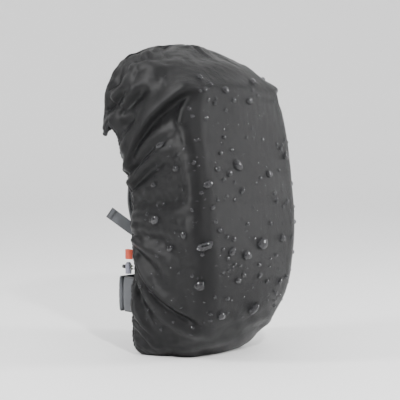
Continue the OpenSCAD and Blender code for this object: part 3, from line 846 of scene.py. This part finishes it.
def outward(path):
    """Unit vectors square to a path that bends in the YZ plane, on its outer side."""
    t = np.gradient(path, axis=0)
    up = np.stack([np.zeros(len(t)), -t[:, 2], t[:, 1]], 1)
    up /= np.linalg.norm(up, axis=1, keepdims=True)
    return up * np.sign(up[:, 1:2] + 1e-9)


def shoulder_strap(side, name):
    """A padded strap with its bindings and the daisy webbing sewn along it."""
    yz = resample(np.column_stack([smooth_path(STRAP_PATH, 8), np.zeros(65)]), 90)[:, :2]
    path = np.array([strap_point(side, 0, y, z) for y, z in yz])
    n = len(path)
    swell = 0.45 + 0.55 * round_ends(n, 4)
    channels = 1 - 0.10 * np.exp(-(((np.arange(n) % 18) - 9) / 1.2) ** 2)
    scale = np.stack([0.90 + 0.10 * swell, swell * channels], 1)
    section = oval(0.0605, 0.0136, 36, 3.2)
    strap = sweep("shoulder_pad_" + name, path, outward(path), section, MESH_FOAM, scale=scale)
    finish_piece(strap, "pack", "mesh_foam", "shoulder_strap_" + name)
    for edge in (-1, 1):
        line = np.array([strap_point(side, edge * 30, y, z) for y, z in yz])[2:-2]
        label = "strap_binding_%s_%d" % (name, edge + 1)
        o = sweep(label, line, outward(line), oval(0.0030, 0.0064, 12, 3), BINDING)
        finish_piece(o, "pack", "pack_grey")
    top = path[14:-6]
    up = outward(top)
    o = sweep("strap_daisy_" + name, top + up * 0.0072, up, oval(0.020, 0.0011, 16, 6), WEBBING)
    finish_piece(o, "pack", "webbing")


def strap_webbing(side, name):
    """The load lifter above a strap and the adjuster webbing below it."""
    line = [(side * 0.062, y, z)
            for y, z in ((0.051, 0.567), (0.0595, 0.5355), (0.0690, 0.5025), (0.0775, 0.4725))]
    webbing("lifter_" + name, "pack", line, (0, 1, 0.29), 0.0195, 0.0015, "load_lifter_" + name, wave=0.0002)
    a = math.radians(20)
    line = [(side * (0.084 + 0.060 * k * math.sin(a)), 0.079 - 0.028 * k, 0.243 - 0.060 * k * math.cos(a))
            for k in (1, 0.66, 0.33, 0)]
    webbing("adjuster_" + name, "pack", line, (0, 1, -0.45), 0.0245, 0.0015, "adjuster_webbing_" + name,
            wave=0.0002)


def strap_tail(side, name):
    """The free webbing end beside a strap, with its turn at the lock and its sewn fold at the tip."""
    root, lean = np.array([0.090, 0.1034, 0.252]), np.array([0.466, 0.673, 0.575])
    face = np.array([0.822, -0.569, 0])
    mirror = np.array([side, 1, 1])
    up = face * mirror
    line = [(root + lean * s * 0.074 + face * 0.0022 * math.sin(3 * s)) * mirror
            for s in (0, 0.25, 0.5, 0.75, 0.98)]
    webbing("tail_" + name, "pack", line, up, 0.0248, 0.0016, "strap_tail_" + name)
    turn = smooth_path([(side * 0.082, 0.0875, 0.245), (side * 0.084, 0.0945, 0.248), line[0]], 8)
    share = np.linspace(0, 1, len(turn))[:, None]
    ups = (1 - share) * [0, -0.35, 0.94] + share * up
    scale = np.hstack([0.7 + 0.3 * share, np.ones_like(share)])
    o = sweep("tail_turn_" + name, turn, ups, oval(0.0248, 0.0016, 20, 6), WEBBING, scale=scale)
    finish_piece(o, "pack", "webbing")
    end, back = line[-1], line[-2] - line[-1]
    tip = [end + back * k + up * 0.0012 for k in (0, 0.25, 0.5, 0.72)]
    webbing("tail_fold_" + name, "pack", tip, up, 0.0250, 0.0014)
    across = np.cross(lean * mirror, up)
    across *= 0.0105 / np.linalg.norm(across)
    for k in (0.10, 0.60):
        middle = end + back * k + up * 0.0020
        label = "tail_stitch_%s_%d" % (name, int(k * 10))
        o = ribbon(label, [middle - across, middle, middle + across], up, 0.0012, 0.0007, STITCH, 8)
        finish_piece(o, "pack", "webbing")


def build_straps():
    for side, name in SIDES:
        shoulder_strap(side, name)
        strap_webbing(side, name)
        strap_tail(side, name)


BELT_Z = 0.1225         # middle of the belt


def belt_section():
    """The belt's foam seen from its end, with two sewn channels."""
    section = oval(0.0134, 0.074, 48, 2.5)
    channels = sum(np.exp(-((section[:, 1] - z) / 0.0022) ** 2) for z in (0.012, -0.012))
    section[:, 0] *= 1 - 0.12 * channels
    return section


def belt_binding(name, line, body):
    o = sweep(name, line, (0, 0, 1), oval(0.0066, 0.0034, 12, 3), BINDING)
    finish_piece(o, body, "belt_foam")


def belt_root(side, name):
    """The part of the belt that is sewn to the back and runs round to the wing's hinge."""
    line = smooth_path([(70, 55), (98, 55), (118, 56), (126, 64), (127, 82), (127, 99.4)], 8) / 1000
    path = resample(np.column_stack([side * line[:, 0], line[:, 1], np.full(len(line), BELT_Z)]), 60)
    swell = 0.5 + 0.5 * round_ends(len(path), 4)
    scale = np.stack([swell, 0.94 + 0.06 * swell], 1)
    o = sweep("belt_root_" + name, path, (0, 0, 1), belt_section(), BELT, scale=scale)
    finish_piece(o, "pack", "belt_foam", "hip_root_" + name)
    for edge, z in ((0, 0.0865), (1, 0.1585)):
        line = path[3:-2] * [1, 1, 0] + [0, 0, z]
        belt_binding("belt_root_binding_%s_%d" % (name, edge), line, "pack")


def belt_wing(side, name):
    """The wing that folds open, narrower towards the buckle, with its bindings."""
    count = 46
    path = resample(np.array([(side * x / 1000, 0.108, BELT_Z) for x in (133.4, 110, 90, 64.5)]), count)
    swell = 0.35 + 0.65 * round_ends(count, 4.89)
    height = 1 - 0.36 * smoothstep(np.linspace(0, 1, count), 0.6, 1.0)
    height *= 0.93 + 0.07 * swell
    scale = np.stack([swell, height], 1)
    o = sweep("belt_wing_" + name, path, (0, 0, 1), belt_section(), BELT, scale=scale)
    finish_piece(o, "wing_" + name, "belt_foam", "hip_wing_" + name)
    for edge in (-1, 1):
        line = np.column_stack([path[:, :2], BELT_Z + edge * 0.0362 * height])[2:-2]
        belt_binding("belt_wing_binding_%s_%d" % (name, edge + 1), line, "wing_" + name)


def belt_webbing(side, name):
    """The webbing on a wing, up to its half of the buckle, and its stitches."""
    reach = 30 if side < 0 else 28
    line = [(side * x / 1000, 0.1158, BELT_Z) for x in (100, 80, 55, reach)]
    webbing("belt_webbing_" + name, "wing_" + name, line, (0, 1, 0), 0.0378, 0.0014, "hip_webbing_" + name,
            wave=0.00005)
    for k, x in enumerate((97, 90)):
        line = [(side * x / 1000, 0.1167, BELT_Z + d) for d in (-0.017, 0, 0.017)]
        o = ribbon("belt_stitch_%s_%d" % (name, k), line, (0, 1, 0), 0.0012, 0.0006, STITCH)
        finish_piece(o, "wing_" + name, "webbing")


def build_belt():
    for side, name in SIDES:
        belt_root(side, name)
        belt_wing(side, name)
        belt_webbing(side, name)


def build_small_webbing():
    line = [(-0.061, 0.123, 0.370), (-0.040, 0.1232, 0.370), (-0.017, 0.123, 0.370)]
    webbing("sternum_band_left", "sternum_strap", line, (0, 1, 0), 0.0148, 0.0014, "sternum_webbing")
    line = [(0.012, 0.123, 0.370), (0.040, 0.1232, 0.370), (0.061, 0.123, 0.370)]
    webbing("sternum_band_right", "sternum_strap", line, (0, 1, 0), 0.0148, 0.0014)
    line = [(-0.026, 0.0545, 0.517), (0, 0.0548, 0.517), (0.026, 0.0545, 0.517)]
    o = sweep("haul_tab", smooth_path(line, 12), (0, 0, 1), oval(0.0125, 0.0098, 20, 4), WEBBING)
    finish_piece(o, "pack", "webbing", "haul_anchor")
    outline = rounded_rect(-0.0185, 0.0185, 0.4695, 0.5085, 0.009, 22)
    outline[:, 1] = 0.058
    o = sweep("haul_grip", outline, (0, 1, 0), oval(0.0066, 0.0030, 16, 3), WEBBING, closed=True)
    finish_piece(o, "haul_loop", "webbing", "haul_loop")
    wrap = smooth_path([(-0.014, 0.058, 0.4695), (0, 0.058, 0.4690), (0.014, 0.058, 0.4695)], 12)
    o = sweep("haul_wrap", wrap, (0, 1, 0), oval(0.0080, 0.0044, 16, 2.5), BINDING)
    finish_piece(o, "haul_loop", "webbing")
    line = [(-0.1405, 0.058, 0.211), (-0.1455, 0.064, 0.2112), (-0.1466, 0.072, 0.211),
            (-0.1440, 0.0765, 0.2108), (-0.1400, 0.0735, 0.211), (-0.1385, 0.064, 0.211)]
    path = smooth_path(line, 10)
    o = sweep("orange_tab", path, (0, 0, 1), oval(0.0015, 0.0205, 20, 8), ORANGE)
    finish_piece(o, "pack", "orange_tape", "hem_pull_tab")


# ---- hard parts kept from the CAD ----

def build_spring():
    """The cord lock's spring, built at rest as a helix of three turns."""
    turns = np.linspace(0, 1, 150)
    a = turns * 3 * 2 * np.pi
    path = np.column_stack([-0.142 + 0.003 * np.cos(a), 0.070 + 0.003 * np.sin(a), 0.1720 + 0.0053 * turns])
    o = sweep("lock_spring", path, (0, 0, 1), oval(0.0007, 0.0007, 8), STEEL)
    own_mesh(o)
    finish_piece(o, "pack", "steel", "cord_lock_spring")


def dress_hard_parts():
    kinds = [
        (BUCKLE, "buckle_plastic", 0.0008, [
            "lifter_buckle_left", "lifter_buckle_right", "ladder_lock_left", "ladder_lock_right",
            "sternum_rails", "sternum_clips", "sternum_buckle_female", "sternum_buckle_male",
            "hip_buckle_female", "hip_buckle_male", "hip_prong_upper", "hip_prong_lower"]),
        (LOCK, "lock_plastic", 0.0008, ["cord_lock_body", "cord_lock_button"]),
        (STEEL, "steel", 0.0003, ["hem_grommets"]),
        (CORD, "elastic", 0.0003, ["elastic_ends"]),
        (SHEET_PLASTIC, "frame_plastic", 0.0006, ["frame_sheet"]),
        (ALUMINIUM, "aluminium", 0.0006, ["frame_stay_left", "frame_stay_right"])]
    for material, slot, width, nodes in kinds:
        for name in nodes:
            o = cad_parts[name]
            o.data.materials.clear()
            o.data.materials.append(material)
            bevel = o.modifiers.new("edges", "BEVEL")
            bevel.width, bevel.segments, bevel.limit_method = width, 2, "ANGLE"
            bevel.harden_normals = True


build_pack_body()
dress_cover()
build_back()
build_straps()
build_belt()
build_small_webbing()
build_spring()
dress_hard_parts()


# ---- studio ----

def studio():
    rings = [0.0, 2.0, 4.0, 4.6, 5.0, 5.3, 5.5, 5.6, 5.6]
    heights = [0.0, 0.0, 0.0, 0.06, 0.22, 0.5, 0.9, 1.4, 6.0]
    around = 96
    points = [(r * math.cos(2 * math.pi * i / around), r * math.sin(2 * math.pi * i / around), h)
              for r, h in zip(rings[1:], heights[1:]) for i in range(around)]
    faces = [f[::-1] for f in grid_faces(len(rings) - 1, around, wrap=True)] + [tuple(range(around))]
    floor = mesh_piece("floor", points, faces, new_material("pale_floor", (0.93, 0.93, 0.93), 0.9)[0])
    world = bpy.data.worlds.new("studio")
    bpy.context.scene.world = world
    world.use_nodes = True
    world.node_tree.nodes["Background"].inputs["Color"].default_value = (1, 1, 1, 1)
    world.node_tree.nodes["Background"].inputs["Strength"].default_value = 1.45


def dark_flag(name, azimuth, distance, width, low, high):
    """A dark cloth that only the reflections see, so that the surfaces facing it stay dark."""
    c, s = math.cos(math.radians(azimuth)), math.sin(math.radians(azimuth))
    points = [(s * distance + c * u, -c * distance + s * u, z)
              for z in (low, high) for u in (-width / 2, width / 2)]
    material = new_material(name + "_cloth", (0.01, 0.01, 0.01), 0.9)[0]
    flag = mesh_piece(name, points, [(0, 1, 3, 2)], material)
    flag.visible_camera = False
    flag.visible_shadow = False


def aimed(name, data, place, target):
    """A camera or light that looks from its place at the target."""
    o = bpy.data.objects.new(name, data)
    bpy.context.scene.collection.objects.link(o)
    o.location = place
    o.rotation_euler = (Vector(target) - Vector(place)).to_track_quat("-Z", "Y").to_euler()
    return o


def soft_light(name, place, target, size, power):
    data = bpy.data.lights.new(name, "AREA")
    data.shape = "RECTANGLE"
    data.size, data.size_y = size
    data.energy = power
    aimed(name, data, place, target)


def camera():
    azimuth, elevation, distance = math.radians(-45), math.radians(4), 2.3
    target = Vector((0, 0, 0.321))
    back = Vector((math.sin(azimuth) * math.cos(elevation), -math.cos(azimuth) * math.cos(elevation),
                   math.sin(elevation)))
    data = bpy.data.cameras.new("camera")
    frame_w = 0.854          # what the picture takes in at the pack, from side to side
    data.lens = data.sensor_width * distance / frame_w
    bpy.context.scene.camera = aimed("camera", data, target + back * distance, target)


camera()
studio()
dark_flag("front_flag", -45, 3.3, 3.2, 0.02, 2.4)
dark_flag("side_flag", -130, 3.3, 3.0, 0.02, 2.0)
soft_light("key", (1.5, -1.9, 1.2), (0, 0, 0.3), (0.5, 1.3), 62)
soft_light("left", (-1.9, 0.9, 1.5), (0, 0, 0.35), (0.35, 1.1), 50)
soft_light("bead_light", (-1.0, -2.0, 2.0), (0, 0, 0.3), (0.16, 0.16), 55)
